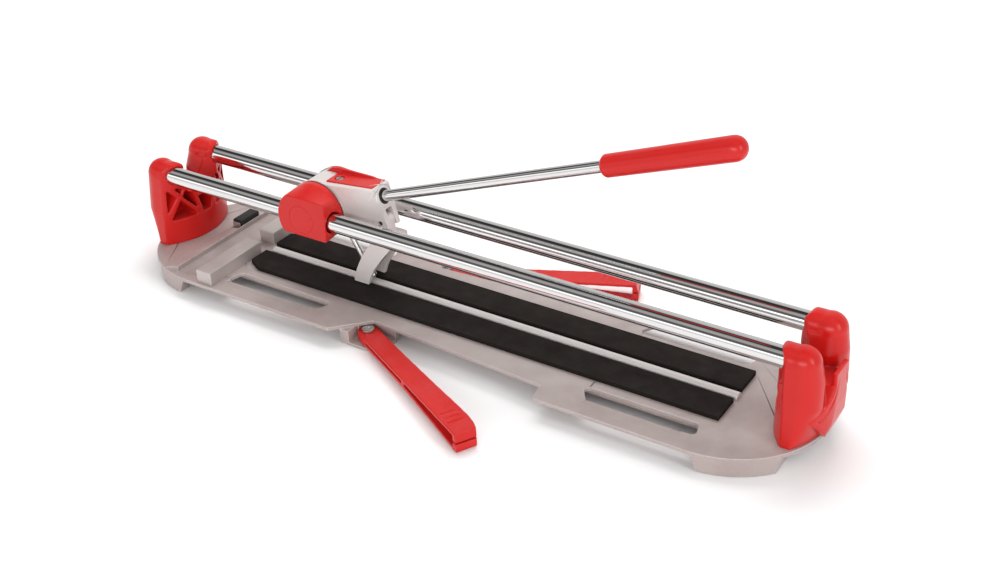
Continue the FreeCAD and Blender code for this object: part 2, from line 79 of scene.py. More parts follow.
class Bench:
    """Hand operations that every sub-assembly uses."""

    @staticmethod
    def pick(piece: bpy.types.Object) -> None:
        """Selects one piece alone and makes it the active one."""
        bpy.ops.object.select_all(action="DESELECT")
        piece.select_set(True)
        bpy.context.view_layer.objects.active = piece

    @staticmethod
    def apply(piece: bpy.types.Object, modifier: bpy.types.Modifier) -> None:
        """Applies one modifier to its piece."""
        Bench.pick(piece)
        bpy.ops.object.modifier_apply(modifier=modifier.name)

    @staticmethod
    def settle(piece: bpy.types.Object) -> bpy.types.Object:
        """Moves a piece's place and turn into its mesh and closes its doubles."""
        Bench.pick(piece)
        bpy.ops.object.transform_apply(location=True, rotation=True, scale=True)
        bpy.ops.object.mode_set(mode="EDIT")
        bpy.ops.mesh.select_all(action="SELECT")
        bpy.ops.mesh.remove_doubles(threshold=DOUBLES)
        bpy.ops.mesh.normals_make_consistent(inside=False)
        bpy.ops.object.mode_set(mode="OBJECT")
        return piece

    @staticmethod
    def copy_node(node: str, name: str, flatten: float = 0.6) -> bpy.types.Object:
        """Copies a CAD node's mesh into a new piece with its triangles joined.

        Args:
            node: The CAD node to copy.
            name: The new piece's name.
            flatten: Angle in degrees below which neighbouring faces become one.

        Returns:
            The new piece, with no material.
        """
        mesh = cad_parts[node].data.copy()
        mesh.materials.clear()
        piece = bpy.data.objects.new(name, mesh)
        bpy.context.scene.collection.objects.link(piece)
        Bench.pick(piece)
        bpy.ops.mesh.customdata_custom_splitnormals_clear()
        bpy.ops.object.mode_set(mode="EDIT")
        bpy.ops.mesh.select_all(action="SELECT")
        bpy.ops.mesh.remove_doubles(threshold=DOUBLES)
        if flatten:
            bpy.ops.mesh.dissolve_limited(angle_limit=math.radians(flatten))
        bpy.ops.object.mode_set(mode="OBJECT")
        return piece

    @staticmethod
    def open_seam(piece: bpy.types.Object, across: float) -> None:
        """Removes the inner walls where two touching halves meet, and joins the halves.

        Args:
            piece: The piece made of two halves.
            across: The X of the plane where they meet, in millimetres.
        """
        Bench.pick(piece)
        bpy.ops.object.mode_set(mode="EDIT")
        bpy.ops.mesh.select_all(action="DESELECT")
        bpy.ops.object.mode_set(mode="OBJECT")
        for face in piece.data.polygons:
            corners = (piece.data.vertices[index].co.x / MM for index in face.vertices)
            face.select = all(abs(corner - across) < MM for corner in corners)
        bpy.ops.object.mode_set(mode="EDIT")
        bpy.ops.mesh.delete(type="FACE")
        bpy.ops.mesh.select_all(action="SELECT")
        bpy.ops.mesh.remove_doubles(threshold=DOUBLES)
        bpy.ops.mesh.dissolve_limited(angle_limit=math.radians(0.2))
        bpy.ops.mesh.quads_convert_to_tris(quad_method="BEAUTY", ngon_method="BEAUTY")
        bpy.ops.object.mode_set(mode="OBJECT")

    @staticmethod
    def round_edges(piece: bpy.types.Object, width: float, segments: int = 2, angle: float = 30.0) -> None:
        """Rounds a piece's sharp edges and evens the shading of its flat faces.

        Args:
            piece: The piece to round.
            width: Width of the rounding in millimetres.
            segments: Faces across the rounding.
            angle: Edges sharper than this, in degrees, are rounded.
        """
        bevel = piece.modifiers.new("edge", "BEVEL")
        bevel.width = width * MM
        bevel.segments = segments
        bevel.limit_method = "ANGLE"
        bevel.angle_limit = math.radians(angle)
        bevel.use_clamp_overlap = False
        Bench.apply(piece, bevel)
        Bench.shade(piece, 40.0)
        faces = piece.modifiers.new("faces", "WEIGHTED_NORMAL")
        faces.keep_sharp = True
        Bench.apply(piece, faces)

    @staticmethod
    def shade(piece: bpy.types.Object, angle: float) -> None:
        """Shades a piece smooth, except across edges sharper than the angle in degrees."""
        Bench.pick(piece)
        bpy.ops.object.shade_smooth_by_angle(angle=math.radians(angle))

    @staticmethod
    def mould(piece: bpy.types.Object, voxel: float, passes: int) -> None:
        """Gives a piece the melted corners of a moulding.

        Args:
            piece: The piece to mould.
            voxel: Size of the new skin's faces in millimetres.
            passes: Smoothing passes; more of them round the corners further.
        """
        skin = piece.modifiers.new("skin", "REMESH")
        skin.mode = "VOXEL"
        skin.voxel_size = voxel * MM
        skin.use_smooth_shade = True
        Bench.apply(piece, skin)
        melt = piece.modifiers.new("melt", "SMOOTH")
        melt.factor = 0.5
        melt.iterations = passes
        Bench.apply(piece, melt)

    @staticmethod
    def soften(piece: bpy.types.Object, low: Vector, high: Vector, passes: int) -> None:
        """Smooths only the part of a piece inside a box, fading out towards the box's sides.

        Args:
            piece: The piece to smooth.
            low: The box's lowest corner in millimetres.
            high: The box's highest corner in millimetres.
            passes: Smoothing passes.
        """
        group = piece.vertex_groups.new(name="soft")
        for vertex in piece.data.vertices:
            place = vertex.co / MM
            depth = min(min(place[i] - low[i], high[i] - place[i]) for i in range(3))
            if depth > 0:
                group.add([vertex.index], min(1.0, depth / 3.0), "REPLACE")
        melt = piece.modifiers.new("soft", "SMOOTH")
        melt.factor = 0.5
        melt.iterations = passes
        melt.vertex_group = "soft"
        Bench.apply(piece, melt)
        piece.vertex_groups.clear()

    @staticmethod
    def carve(piece: bpy.types.Object, tool: bpy.types.Object, how: str = "DIFFERENCE") -> None:
        """Cuts a piece with a tool body, which is then thrown away."""
        cut = piece.modifiers.new("cut", "BOOLEAN")
        cut.operation = how
        cut.object = tool
        cut.solver = "EXACT"
        Bench.apply(piece, cut)
        bpy.data.objects.remove(tool)

    @staticmethod
    def turned(
        name: str,
        stations: list[tuple[float, float]],
        start: Vector,
        toward: Vector,
        sides: int = 64,
    ) -> bpy.types.Object:
        """Turns a round piece by extruding a disc along its axis, ring by ring.

        Args:
            name: The piece's name.
            stations: Distance along the axis and radius of each ring, in millimetres.
            start: Where the axis starts, in millimetres.
            toward: The axis's direction.
            sides: Faces round the piece.

        Returns:
            The closed piece in its place.
        """
        bpy.ops.object.select_all(action="DESELECT")
        first, radius = stations[0]
        bpy.ops.mesh.primitive_circle_add(
            vertices=sides, radius=radius * MM, fill_type="NGON", location=(0, 0, first * MM)
        )
        piece = bpy.context.active_object
        piece.name = name
        piece.data.name = name
        bpy.ops.object.transform_apply(location=True)
        bpy.ops.object.mode_set(mode="EDIT")
        bpy.ops.mesh.select_all(action="SELECT")
        for (was, old), (at, new) in zip(stations, stations[1:]):
            bpy.ops.mesh.extrude_region_move(TRANSFORM_OT_translate={"value": (0, 0, (at - was) * MM)})
            bpy.ops.transform.resize(value=(new / old, new / old, 1), center_override=(0, 0, at * MM))
        bpy.ops.object.mode_set(mode="OBJECT")
        turn = toward.to_track_quat("Z", "Y").to_matrix().to_4x4()
        piece.matrix_world = Matrix.Translation(start * MM) @ turn
        return Bench.settle(piece)

    @staticmethod
    def block(low: Vector, high: Vector) -> bpy.types.Object:
        """Adds a plain box between two corners in millimetres, as a cutting tool."""
        bpy.ops.object.select_all(action="DESELECT")
        bpy.ops.mesh.primitive_cube_add(size=1, location=(low + high) / 2 * MM)
        tool = bpy.context.active_object
        tool.scale = (high - low) * MM
        return Bench.settle(tool)

    @staticmethod
    def deliver(piece: bpy.types.Object, body: Body, finish: "Finish", *nodes: str) -> None:
        """Gives a finished piece its material and its body, and lets it stand for CAD nodes."""
        piece.data.materials.clear()
        piece.data.materials.append(finish.material())
        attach(piece, body.value)
        if nodes:
            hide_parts(*nodes)
        log.info("%s on %s: %d faces", piece.name, body.value, len(piece.data.polygons))


class Graph:
    """A node tree with short ways to add nodes and join them."""

    def __init__(self, tree: bpy.types.NodeTree) -> None:
        """Keeps the tree that the nodes go into."""
        self.tree = tree

    def add(self, kind: str, **values: object) -> bpy.types.Node:
        """Adds a node and sets its attributes and its plain inputs.

        Args:
            kind: Blender's name for the node type.
            values: Attributes by name, or inputs by name with spaces as underscores.

        Returns:
            The new node.
        """
        node = self.tree.nodes.new(kind)
        for name, value in values.items():
            if hasattr(node, name):
                setattr(node, name, value)
            else:
                node.inputs[name.replace("_", " ")].default_value = value
        return node

    def join(self, source: bpy.types.NodeSocket, target: bpy.types.NodeSocket) -> None:
        """Joins one output to one input."""
        self.tree.links.new(source, target)

    def math(
        self, operation: str, first: object, second: object = 0.0, clamp: bool = False
    ) -> bpy.types.NodeSocket:
        """Adds a math node; each operand is a number or an output socket."""
        node = self.tree.nodes.new("ShaderNodeMath")
        node.operation = operation
        node.use_clamp = clamp
        for index, value in enumerate((first, second)):
            if isinstance(value, bpy.types.NodeSocket):
                self.join(value, node.inputs[index])
            else:
                node.inputs[index].default_value = value
        return node.outputs[0]

    def blend(self, factor: object, first: object, second: object) -> bpy.types.NodeSocket:
        """Mixes two colours; each of the three is a plain value or an output socket."""
        node = self.tree.nodes.new("ShaderNodeMix")
        node.data_type = "RGBA"
        for index, value in ((0, factor), (6, first), (7, second)):
            if isinstance(value, bpy.types.NodeSocket):
                self.join(value, node.inputs[index])
            elif index == 0:
                node.inputs[index].default_value = value
            else:
                node.inputs[index].default_value = (*value, 1.0)
        return node.outputs[2]


class Effects:
    """Surface effects shared by the finishes, each a node group built once."""

    built: dict[str, bpy.types.NodeTree] = {}

    @classmethod
    def start(
        cls, name: str, inputs: dict[str, float], outputs: list[str]
    ) -> tuple[Graph, bpy.types.Node, bpy.types.Node]:
        """Opens a new node group with a Place vector, number inputs and number outputs.

        Args:
            name: The group's name.
            inputs: Default of each number input.
            outputs: Names of the number outputs.

        Returns:
            The group's graph, its input node and its output node.
        """
        tree = bpy.data.node_groups.new(name, "ShaderNodeTree")
        tree.interface.new_socket("Place", in_out="INPUT", socket_type="NodeSocketVector")
        for label, value in inputs.items():
            socket = tree.interface.new_socket(label, in_out="INPUT", socket_type="NodeSocketFloat")
            socket.default_value = value
        for label in outputs:
            tree.interface.new_socket(label, in_out="OUTPUT", socket_type="NodeSocketFloat")
        cls.built[name] = tree
        graph = Graph(tree)
        return graph, graph.add("NodeGroupInput"), graph.add("NodeGroupOutput")

    @classmethod
    def grain(cls) -> bpy.types.NodeTree:
        """Fine speckle and slow clouds, as on a sand-cast or powder-coated skin."""
        if "Skin grain" in cls.built:
            return cls.built["Skin grain"]
        graph, source, sink = cls.start("Skin grain", {"Density": 1500.0}, ["Speckle", "Cloud", "Height"])
        fine = graph.add("ShaderNodeTexNoise", Detail=3.0, Roughness=0.65)
        slow = graph.add("ShaderNodeTexNoise", Detail=2.0, Roughness=0.5)
        pits = graph.add("ShaderNodeTexVoronoi")
        for node in (fine, slow, pits):
            graph.join(source.outputs["Place"], node.inputs["Vector"])
        graph.join(source.outputs["Density"], fine.inputs["Scale"])
        graph.join(graph.math("MULTIPLY", source.outputs["Density"], 0.012), slow.inputs["Scale"])
        graph.join(graph.math("MULTIPLY", source.outputs["Density"], 0.5), pits.inputs["Scale"])
        speckle = graph.math("MULTIPLY", graph.math("SUBTRACT", fine.outputs["Fac"], 0.3), 2.5, True)
        pit = graph.math("MULTIPLY", pits.outputs["Distance"], 0.5)
        graph.join(speckle, sink.inputs["Speckle"])
        graph.join(slow.outputs["Fac"], sink.inputs["Cloud"])
        graph.join(graph.math("ADD", speckle, pit), sink.inputs["Height"])
        return cls.built["Skin grain"]

    @classmethod
    def edge(cls) -> bpy.types.NodeTree:
        """A broken line along edges: a painted highlight where rounded edges catch light, and rubbed wear."""
        if "Edge sheen and wear" in cls.built:
            return cls.built["Edge sheen and wear"]
        graph, source, sink = cls.start("Edge sheen and wear", {"Width": 0.0007, "Strength": 1.0}, ["Wear"])
        around = graph.add("ShaderNodeBevel", samples=6)
        here = graph.add("ShaderNodeNewGeometry")
        dot = graph.add("ShaderNodeVectorMath", operation="DOT_PRODUCT")
        patches = graph.add("ShaderNodeTexNoise", Scale=160.0, Detail=3.0)
        graph.join(source.outputs["Width"], around.inputs["Radius"])
        graph.join(around.outputs["Normal"], dot.inputs[0])
        graph.join(here.outputs["Normal"], dot.inputs[1])
        graph.join(source.outputs["Place"], patches.inputs["Vector"])
        # edge mask for the painted edge highlight, partly rubbed wear
        corner = graph.math("MULTIPLY", graph.math("SUBTRACT", 1.0, dot.outputs["Value"]), 9.0, True)
        broken = graph.math("ADD", graph.math("MULTIPLY", patches.outputs["Fac"], 0.7), 0.45, True)
        worn_and_sheen = graph.math("MULTIPLY", corner, broken)
        sheen_and_wear = graph.math("MULTIPLY", worn_and_sheen, source.outputs["Strength"], True)
        graph.join(sheen_and_wear, sink.inputs["Wear"])
        return cls.built["Edge sheen and wear"]

    @classmethod
    def brush(cls) -> bpy.types.NodeTree:
        """Long fine lines along X, as left by grinding or drawing."""
        if "Brushed lines" in cls.built:
            return cls.built["Brushed lines"]
        graph, source, sink = cls.start("Brushed lines", {"Density": 2500.0, "Stretch": 0.01}, ["Lines"])
        apart = graph.add("ShaderNodeSeparateXYZ")
        again = graph.add("ShaderNodeCombineXYZ")
        lines = graph.add("ShaderNodeTexNoise", Detail=2.0, Roughness=0.6)
        graph.join(source.outputs["Place"], apart.inputs[0])
        graph.join(graph.math("MULTIPLY", apart.outputs[0], source.outputs["Stretch"]), again.inputs[0])
        graph.join(apart.outputs[1], again.inputs[1])
        graph.join(apart.outputs[2], again.inputs[2])
        graph.join(again.outputs[0], lines.inputs["Vector"])
        graph.join(source.outputs["Density"], lines.inputs["Scale"])
        graph.join(lines.outputs["Fac"], sink.inputs["Lines"])
        return cls.built["Brushed lines"]

    @classmethod
    def dust(cls) -> bpy.types.NodeTree:
        """Thin dust that lies on faces that look up."""
        if "Lying dust" in cls.built:
            return cls.built["Lying dust"]
        graph, source, sink = cls.start("Lying dust", {"Amount": 0.2}, ["Dust"])
        here = graph.add("ShaderNodeNewGeometry")
        apart = graph.add("ShaderNodeSeparateXYZ")
        drift = graph.add("ShaderNodeTexNoise", Scale=45.0, Detail=6.0, Roughness=0.7)
        graph.join(here.outputs["Normal"], apart.inputs[0])
        graph.join(source.outputs["Place"], drift.inputs["Vector"])
        upward = graph.math("POWER", graph.math("MAXIMUM", apart.outputs[2], 0.0), 3.0)
        heap = graph.math("MULTIPLY", graph.math("SUBTRACT", drift.outputs["Fac"], 0.35), 2.2, True)
        lying = graph.math("MULTIPLY", graph.math("MULTIPLY", upward, heap), source.outputs["Amount"], True)
        graph.join(lying, sink.inputs["Dust"])
        return cls.built["Lying dust"]

    @classmethod
    def peel(cls) -> bpy.types.NodeTree:
        """The soft waviness and faint flow tone of a moulded plastic skin."""
        if "Moulded skin" in cls.built:
            return cls.built["Moulded skin"]
        graph, source, sink = cls.start("Moulded skin", {"Density": 260.0}, ["Wave", "Tone", "Micro"])
        wave = graph.add("ShaderNodeTexNoise", Detail=1.0)
        tone = graph.add("ShaderNodeTexNoise", Scale=18.0, Detail=2.0)
        micro = graph.add("ShaderNodeTexNoise", Scale=3200.0, Detail=2.0)
        for node in (wave, tone, micro):
            graph.join(source.outputs["Place"], node.inputs["Vector"])
        graph.join(source.outputs["Density"], wave.inputs["Scale"])
        graph.join(wave.outputs["Fac"], sink.inputs["Wave"])
        graph.join(tone.outputs["Fac"], sink.inputs["Tone"])
        graph.join(micro.outputs["Fac"], sink.inputs["Micro"])
        return cls.built["Moulded skin"]


@dataclass(frozen=True)
class Finish:
    """A finish: its record slot and the plain numbers of its shader."""

    name: str
    slot: Slot
    colour: tuple[float, float, float]
    roughness: float
    metallic: float = 0.0
    specular: float = 0.5

    def material(self) -> bpy.types.Material:
        """Returns this finish's material, made on first use."""
        ready = bpy.data.materials.get(self.name)
        if ready:
            return ready
        made = bpy.data.materials.new(self.name)
        made.use_nodes = True
        made.node_tree.nodes.clear()
        graph = Graph(made.node_tree)
        shader = graph.add("ShaderNodeBsdfPrincipled")
        shader.inputs["Metallic"].default_value = self.metallic
        shader.inputs["Roughness"].default_value = self.roughness
        shader.inputs["Specular IOR Level"].default_value = self.specular
        shader.inputs["Base Color"].default_value = (*self.colour, 1.0)
        out = graph.add("ShaderNodeOutputMaterial")
        place = graph.add("ShaderNodeTexCoord").outputs["Object"]
        graph.join(shader.outputs[0], out.inputs["Surface"])
        self.dress(graph, shader, place)
        return made

    def effect(
        self, graph: Graph, tree: bpy.types.NodeTree, place: bpy.types.NodeSocket, **values: float
    ) -> bpy.types.Node:
        """Places a shared effect in this material with its own values."""
        node = graph.add("ShaderNodeGroup")
        node.node_tree = tree
        graph.join(place, node.inputs["Place"])
        for name, value in values.items():
            node.inputs[name].default_value = value
        return node

    def bump(self, graph: Graph, shader: bpy.types.Node, height: bpy.types.NodeSocket, depth: float) -> None:
        """Feeds a height in metres, scaled by a depth, to the shader's normal."""
        bump = graph.add("ShaderNodeBump", Strength=1.0, Distance=depth)
        graph.join(height, bump.inputs["Height"])
        graph.join(bump.outputs["Normal"], shader.inputs["Normal"])

    def dress(self, graph: Graph, shader: bpy.types.Node, place: bpy.types.NodeSocket) -> None:
        """Adds the surface detail; each kind of finish has its own."""


@dataclass(frozen=True)
class CastSkin(Finish):
    """Satin cast alloy with a fine speckle, slow clouds, and edges made brighter by a painted highlight and
    rubbed wear.
    """

    speck: tuple[float, float, float] = (0.8, 0.78, 0.75)
    # colour of the painted edge highlight, which also stands for rubbed wear
    edge: tuple[float, float, float] = (0.9, 0.89, 0.87)
    density: float = 1500.0
    dust: float = 0.25

    def dress(self, graph: Graph, shader: bpy.types.Node, place: bpy.types.NodeSocket) -> None:
        """Speckle and clouds in colour and roughness, edges brighter by painted highlight and wear, pits in
        the bump.
        """
        grain = self.effect(graph, Effects.grain(), place, Density=self.density)
        sheen_and_wear = self.effect(graph, Effects.edge(), place, Width=0.0009, Strength=0.9)
        film = self.effect(graph, Effects.dust(), place, Amount=self.dust)
        amount = graph.math("MULTIPLY", grain.outputs["Speckle"], 0.55)
        cloud = graph.math("MULTIPLY", graph.math("SUBTRACT", grain.outputs["Cloud"], 0.5), 0.7)
        tone = graph.math("ADD", amount, cloud, True)
        skin = graph.blend(tone, self.colour, self.speck)
        dusty = graph.blend(film.outputs["Dust"], skin, (0.72, 0.70, 0.67))
        # edges mixed towards the painted highlight colour, partly rubbed wear
        graph.join(graph.blend(sheen_and_wear.outputs["Wear"], dusty, self.edge), shader.inputs["Base Color"])
        speckle = graph.math("MULTIPLY", grain.outputs["Speckle"], 0.16)
        rough = graph.math("ADD", self.roughness - 0.08, speckle)
        worn_and_sheen = graph.math("SUBTRACT", rough, graph.math("MULTIPLY", sheen_and_wear.outputs["Wear"], 0.15), True)
        graph.join(worn_and_sheen, shader.inputs["Roughness"])
        self.bump(graph, shader, grain.outputs["Height"], 0.00006)


@dataclass(frozen=True)
class BrightSteel(Finish):
    """Drawn or ground steel with fine lines along the cutter."""

    stretch: float = 0.012
    streak: float = 0.14

    def dress(self, graph: Graph, shader: bpy.types.Node, place: bpy.types.NodeSocket) -> None:
        """Lines in the roughness and a little in colour, edges a touch brighter by painted highlight and
        wear.
        """
        lines = self.effect(graph, Effects.brush(), place, Density=2600.0, Stretch=self.stretch)
        sheen_and_wear = self.effect(graph, Effects.edge(), place, Width=0.0004, Strength=0.6)
        dark = tuple(0.72 * part for part in self.colour)
        skin = graph.blend(lines.outputs["Lines"], dark, self.colour)
        # edges mixed towards a painted highlight, partly rubbed wear
        graph.join(graph.blend(sheen_and_wear.outputs["Wear"], skin, (0.93, 0.93, 0.92)), shader.inputs["Base Color"])
        rough = graph.math("MULTIPLY", graph.math("SUBTRACT", lines.outputs["Lines"], 0.5), self.streak)
        graph.join(graph.math("ADD", rough, self.roughness, True), shader.inputs["Roughness"])
        self.bump(graph, shader, lines.outputs["Lines"], 0.000012)


@dataclass(frozen=True)
class ChromePlate(Finish):
    """Hard chrome on round bar, with very faint draw lines and smears of oil."""

    def dress(self, graph: Graph, shader: bpy.types.Node, place: bpy.types.NodeSocket) -> None:
        """Smears in the roughness and faint lines in the bump."""
        lines = self.effect(graph, Effects.brush(), place, Density=1400.0, Stretch=0.004)
        grain = self.effect(graph, Effects.grain(), place, Density=900.0)
        smear = graph.math("MULTIPLY", graph.math("SUBTRACT", grain.outputs["Cloud"], 0.45), 0.12, True)
        graph.join(graph.math("ADD", smear, self.roughness), shader.inputs["Roughness"])
        tint = tuple(0.82 * part for part in self.colour)
        graph.join(graph.blend(lines.outputs["Lines"], tint, self.colour), shader.inputs["Base Color"])
        self.bump(graph, shader, lines.outputs["Lines"], 0.000006)


@dataclass(frozen=True)
class MouldedPlastic(Finish):
    """Moulded plastic with a soft skin, flow tone, and corners made paler by a painted highlight and rubbed
    wear.
    """

    # colour of the painted corner highlight, which also stands for rubbed wear
    pale: tuple[float, float, float] = (0.78, 0.06, 0.05)
    micro: float = 0.00001
    coat: float = 0.0

    def dress(self, graph: Graph, shader: bpy.types.Node, place: bpy.types.NodeSocket) -> None:
        """Tone in colour, wave and micro texture in the bump, corners paler by painted highlight and rubbed
        wear.
        """
        skin = self.effect(graph, Effects.peel(), place, Density=220.0)
        sheen_and_wear = self.effect(graph, Effects.edge(), place, Width=0.0008, Strength=0.35)
        film = self.effect(graph, Effects.dust(), place, Amount=0.05)
        deep = tuple(0.86 * part for part in self.colour)
        tone = graph.blend(skin.outputs["Tone"], deep, self.colour)
        dusty = graph.blend(film.outputs["Dust"], tone, (0.6, 0.56, 0.54))
        # corners mixed towards the pale painted highlight, partly rubbed wear
        graph.join(graph.blend(sheen_and_wear.outputs["Wear"], dusty, self.pale), shader.inputs["Base Color"])
        rough = graph.math("MULTIPLY", graph.math("SUBTRACT", skin.outputs["Micro"], 0.5), 0.2)
        graph.join(graph.math("ADD", rough, self.roughness, True), shader.inputs["Roughness"])
        wave = graph.math("MULTIPLY", skin.outputs["Wave"], 4.0)
        self.bump(graph, shader, graph.math("ADD", wave, skin.outputs["Micro"]), self.micro)
        shader.inputs["Coat Weight"].default_value = self.coat
        shader.inputs["Coat Roughness"].default_value = 0.12


@dataclass(frozen=True)
class FoamRubber(Finish):
    """Matt closed-pore rubber with tiny dents and a little tile dust."""

    def dress(self, graph: Graph, shader: bpy.types.Node, place: bpy.types.NodeSocket) -> None:
        """Pores in colour and bump, dust on top, edges lighter by painted highlight and wear."""
        grain = self.effect(graph, Effects.grain(), place, Density=1100.0)
        film = self.effect(graph, Effects.dust(), place, Amount=0.04)
        sheen_and_wear = self.effect(graph, Effects.edge(), place, Width=0.0006, Strength=0.3)
        light = tuple(2.0 * part + 0.002 for part in self.colour)
        skin = graph.blend(grain.outputs["Speckle"], self.colour, light)
        dusty = graph.blend(film.outputs["Dust"], skin, (0.30, 0.285, 0.27))
        # edges lighter by a painted highlight and rubbed wear
        graph.join(graph.blend(sheen_and_wear.outputs["Wear"], dusty, (0.11, 0.105, 0.10)), shader.inputs["Base Color"])
        rough = graph.math("MULTIPLY", graph.math("SUBTRACT", grain.outputs["Speckle"], 0.5), 0.12)
        graph.join(graph.math("ADD", rough, self.roughness, True), shader.inputs["Roughness"])
        self.bump(graph, shader, grain.outputs["Height"], 0.00012)


class Finishes:
    """Every finish on the cutter."""

    # the last colour of each casting is its painted edge highlight and rubbed wear
    plate = CastSkin("Satin casting", Slot.CAST, (0.36, 0.29, 0.275), 0.46, 0.25, 0.4, (0.66, 0.58, 0.56))
    machined = CastSkin("Machined fence", Slot.CAST, (0.42, 0.36, 0.34), 0.40, 0.4, 0.4, (0.70, 0.64, 0.62))
    lever = CastSkin(
        "Lever casting", Slot.CAST, (0.66, 0.60, 0.58), 0.42, 0.25, 0.4, (0.86, 0.82, 0.80), density=1100.0
    )
    rib = BrightSteel("Drawn rib steel", Slot.STEEL, (0.86, 0.82, 0.80), 0.42, 0.35)
    fittings = BrightSteel("Ground fittings", Slot.STEEL, (0.66, 0.65, 0.63), 0.28, 1.0, stretch=0.4)
    screws = BrightSteel("Plated screws", Slot.SCREW, (0.62, 0.61, 0.60), 0.26, 1.0, stretch=0.6)
    # the foot pin is coloured near black, so its end, which catches light, stays dark
    dark_pin = BrightSteel("Near-black pin", Slot.STEEL, (0.06, 0.058, 0.056), 0.45, 0.8, stretch=0.5)
    wheel = BrightSteel("Carbide wheel", Slot.STEEL, (0.48, 0.48, 0.50), 0.22, 1.0, stretch=0.8)
    chrome = ChromePlate("Hard chrome", Slot.CHROME, (0.80, 0.79, 0.79), 0.06, 1.0)
    bronze = BrightSteel("Bush bronze", Slot.BRONZE, (0.60, 0.42, 0.21), 0.34, 1.0, stretch=0.5)
    red = MouldedPlastic("Signal red plastic", Slot.RED, (0.60, 0.010, 0.008), 0.30, 0.0, 0.35)
    stop = MouldedPlastic(
        "Black stop plastic", Slot.STOP, (0.014, 0.014, 0.015), 0.55, 0.0, 0.4, (0.06, 0.06, 0.06)
    )
    black = MouldedPlastic(
        "Black ring plastic", Slot.BLACK, (0.012, 0.012, 0.013), 0.5, 0.0, 0.4, (0.05, 0.05, 0.05)
    )
    pad = FoamRubber("Bed rubber", Slot.RUBBER, (0.0075, 0.0052, 0.0045), 0.9, 0.0, 0.2)


@dataclass
class BasePlate:
    """The long cast plate with its round ends, skirt feet, ribs and hand slots."""

    rounding: float = 0.7

    def build(self) -> None:
        """Copies the plate, rounds its cast edges and dresses it."""
        plate = Bench.copy_node("base_plate", "cast_base_plate", 0.0)
        Bench.open_seam(plate, 0.0)
        Bench.round_edges(plate, self.rounding, 2, 28.0)
        Bench.deliver(plate, Body.BASE, Finishes.plate, "base_plate")


@dataclass
class TileBed:
    """The breaking rib, the two soft pads, the fence and the angle stop."""

    pad_edge: float = 0.6
    fence_edge: float = 0.5

    def build(self) -> None:
        """Builds each part of the bed."""
        rib = Bench.copy_node("breaking_rib", "breaking_rib_bar", 0.1)
        Bench.round_edges(rib, 0.3)
        Bench.deliver(rib, Body.BASE, Finishes.rib, "breaking_rib")
        for side in ("front", "rear"):
            pad = Bench.copy_node(f"pad_{side}", f"soft_pad_{side}")
            Bench.round_edges(pad, self.pad_edge, 3)
            Bench.deliver(pad, Body.BASE, Finishes.pad, f"pad_{side}")
            fence = Bench.copy_node(f"fence_{side}", f"fence_block_{side}")
            Bench.round_edges(fence, self.fence_edge, 3)
            Bench.deliver(fence, Body.BASE, Finishes.machined, f"fence_{side}")
        screws = Bench.copy_node("fence_screws", "fence_cap_screws", 0.1)
        Bench.round_edges(screws, 0.3)
        Bench.deliver(screws, Body.BASE, Finishes.screws, "fence_screws")
        stop = Bench.copy_node("stop_block", "stop_block_moulding")
        Bench.round_edges(stop, 0.4)
        Bench.deliver(stop, Body.BASE, Finishes.stop, "stop_block")
        clip = Bench.copy_node("stop_clip", "stop_spring_clip")
        Bench.round_edges(clip, 0.25)
        Bench.deliver(clip, Body.BASE, Finishes.fittings, "stop_clip")


@dataclass
class EndSupports:
    """The two moulded supports that hold the guide bars."""

    skin: float = 0.85
    melt: int = 5
    band_axis: float = 321.2
    band_radius: float = 79.4
    groove_centre: tuple[float, float] = (51.5, 86.0)
    groove_inner: float = 42.0
    groove_outer: float = 44.4

    def groove(self, side: float) -> bpy.types.Object:
        """Makes the ring-shaped tool for one arc groove on the band.

        Args:
            side: 1 or -1, the side of the middle that the groove is on.

        Returns:
            The tool, curved to the band.
        """
        across, up = self.groove_centre
        ring = Bench.turned(
            "groove_tool", [(0, self.groove_outer), (20, self.groove_outer)],
            Vector((392, MIDDLE_Y + side * across, up)), Vector((1, 0, 0)), 96,
        )
        core = Bench.turned(
            "groove_core", [(-2, self.groove_inner), (24, self.groove_inner)],
            Vector((392, MIDDLE_Y + side * across, up)), Vector((1, 0, 0)), 96,
        )
        Bench.carve(ring, core)
        wall = Bench.turned(
            "groove_wall", [(0, self.band_radius), (120, self.band_radius)],
            Vector((self.band_axis, MIDDLE_Y, 0)), Vector((0, 0, 1)), 256,
        )
        Bench.carve(ring, wall)
        above = Bench.block(Vector((380, -90, 84.5)), Vector((430, 90, 140)))
        Bench.carve(ring, above)
        below = Bench.block(Vector((380, -130, 30)), Vector((430, 130, 46)))
        Bench.carve(ring, below)
        return ring

    def build(self) -> None:
        """Moulds the right support, then makes the left one as its mirror."""
        right = Bench.copy_node("support_right", "end_support_right", 0.0)
        for side in (-1.0, 1.0):
            Bench.carve(right, self.groove(side))
        Bench.mould(right, self.skin, self.melt)
        for side in (-1.0, 1.0):
            low = Vector((346, MIDDLE_Y + min(side * 14, side * 52), 104))
            high = Vector((372, MIDDLE_Y + max(side * 14, side * 52), 124))
            Bench.soften(right, low, high, 18)
        left = bpy.data.objects.new("end_support_left", right.data.copy())
        bpy.context.scene.collection.objects.link(left)
        left.scale = (-1, 1, 1)
        Bench.settle(left)
        Bench.deliver(right, Body.BASE, Finishes.red, "support_right")
        Bench.deliver(left, Body.BASE, Finishes.red, "support_left")
        screws = Bench.copy_node("support_screws", "support_cap_screws", 0.1)
        Bench.round_edges(screws, 0.3)
        Bench.deliver(screws, Body.BASE, Finishes.screws, "support_screws")


